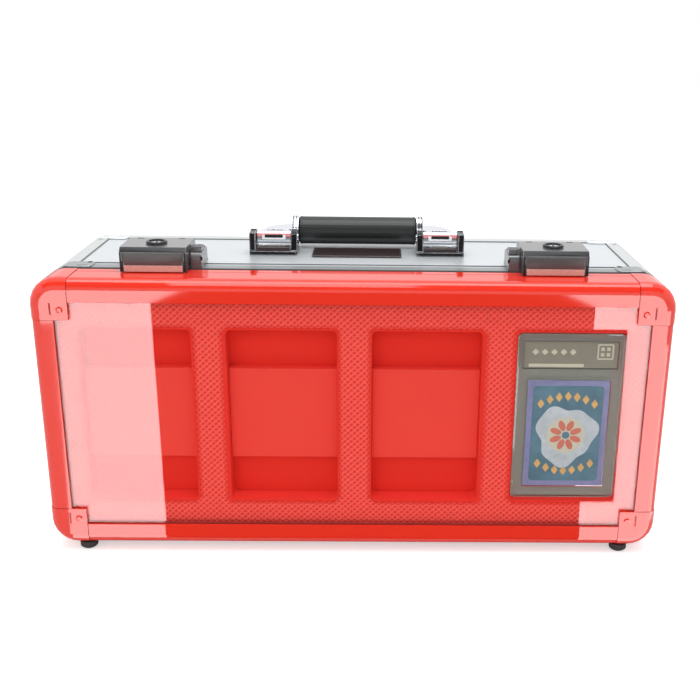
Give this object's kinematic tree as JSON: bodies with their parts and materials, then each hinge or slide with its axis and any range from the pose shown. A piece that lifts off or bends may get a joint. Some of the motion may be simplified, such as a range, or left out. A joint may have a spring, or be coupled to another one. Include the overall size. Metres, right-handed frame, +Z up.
{
  "type": "graded card storage case",
  "caption": "Aluminium storage case with a hinged window lid over a display tray of card pockets, key latches and a folding handle.",
  "frame": {"origin": "on the floor, under the middle of the case's overall box", "axes": "+X to the case's right as seen from the lid, +Y from the lid to the back panel, +Z up to the handle"},
  "size_m": [0.4828, 0.1706, 0.2488],
  "materials": {
    "red_anodised": "gloss",
    "red_tray": "satin",
    "silver_skin": "satin",
    "silver_extrusion": "satin",
    "grey_rim": "satin",
    "black_foam": "matte",
    "black_metal": "satin",
    "black_rubber": "matte",
    "black_grip": "satin",
    "chrome": "polished",
    "clear_acrylic": "gloss",
    "label_paper": "satin",
    "card_paper": "gloss"
  },
  "bodies": {
    "case": {"front_rim_top": "grey_rim", "front_rim_bottom": "grey_rim", "front_rim_left": "grey_rim", "front_rim_right": "grey_rim", "front_rim_corner_top_left": "grey_rim", "front_rim_corner_top_right": "grey_rim", "front_rim_corner_bottom_left": "grey_rim", "front_rim_corner_bottom_right": "grey_rim", "rear_rim": "silver_extrusion", "edge_top_left": "silver_extrusion", "edge_top_right": "silver_extrusion", "edge_bottom_left": "silver_extrusion", "edge_bottom_right": "silver_extrusion", "top_panel": "silver_skin", "bottom_panel": "silver_skin", "left_panel": "silver_skin", "right_panel": "silver_skin", "back_panel": "silver_skin", "storage_foam": "black_foam", "tray_face": "red_tray", "tray_core": "red_tray", "slab_shell": "clear_acrylic", "slab_label": "label_paper", "slab_card": "card_paper", "name_plate": "black_metal", "foot_rear_left": "black_rubber", "foot_rear_right": "black_rubber", "hinge_body_leaf_left": "silver_extrusion", "hinge_body_leaf_right": "silver_extrusion", "handle_base_left": "black_metal", "handle_base_right": "black_metal", "latch_base_left": "black_metal", "latch_base_right": "black_metal"},
    "lid": {"lid_rail_top": "red_anodised", "lid_rail_bottom": "red_anodised", "lid_rail_left": "red_anodised", "lid_rail_right": "red_anodised", "lid_corner_top_left": "red_anodised", "lid_corner_top_right": "red_anodised", "lid_corner_bottom_left": "red_anodised", "lid_corner_bottom_right": "red_anodised", "window": "clear_acrylic", "window_seal": "black_rubber", "lid_catch_left": "chrome", "lid_catch_right": "chrome", "foot_front_left": "black_rubber", "foot_front_right": "black_rubber", "hinge_lid_leaf_left": "silver_extrusion", "hinge_lid_leaf_right": "silver_extrusion"},
    "handle": {"handle_arm_left": "chrome", "handle_arm_right": "chrome", "handle_grip": "black_grip"},
    "left_hasp": {"hasp_left": "black_metal"},
    "right_hasp": {"hasp_right": "black_metal"},
    "left_lock": {"lock_plug_left": "chrome"},
    "right_lock": {"lock_plug_right": "chrome"},
    "left_button": {"slide_button_left": "black_metal"},
    "right_button": {"slide_button_right": "black_metal"}
  },
  "joints": [
    {"name": "lid_hinge", "type": "hinge", "parent": "case", "child": "lid", "pos_m": [0, -0.0487, 0.004], "axis": [1, 0, 0], "range_deg": [0, 100]},
    {"name": "handle_fold", "type": "hinge", "parent": "case", "child": "handle", "pos_m": [0, 0.0213, 0.236], "axis": [1, 0, 0], "range_deg": [0, 174]},
    {"name": "left_hasp_hinge", "type": "hinge", "parent": "case", "child": "left_hasp", "pos_m": [-0.152, -0.0237, 0.2325], "axis": [-1, 0, 0], "range_deg": [0, 90]},
    {"name": "right_hasp_hinge", "type": "hinge", "parent": "case", "child": "right_hasp", "pos_m": [0.152, -0.0237, 0.2325], "axis": [-1, 0, 0], "range_deg": [0, 90]},
    {"name": "left_lock_turn", "type": "hinge", "parent": "left_hasp", "child": "left_lock", "pos_m": [-0.152, -0.0427, 0.24], "axis": [0, 0, 1], "range_deg": [0, 90]},
    {"name": "right_lock_turn", "type": "hinge", "parent": "right_hasp", "child": "right_lock", "pos_m": [0.152, -0.0427, 0.24], "axis": [0, 0, 1], "range_deg": [0, 90]},
    {"name": "left_button_slide", "type": "slide", "parent": "case", "child": "left_button", "axis": [0, 1, 0], "range_m": [0, 0.005], "stiffness_N_per_m": 300, "springref_m": -0.001},
    {"name": "right_button_slide", "type": "slide", "parent": "case", "child": "right_button", "axis": [0, 1, 0], "range_m": [0, 0.005], "stiffness_N_per_m": 300, "springref_m": -0.001}
  ]
}
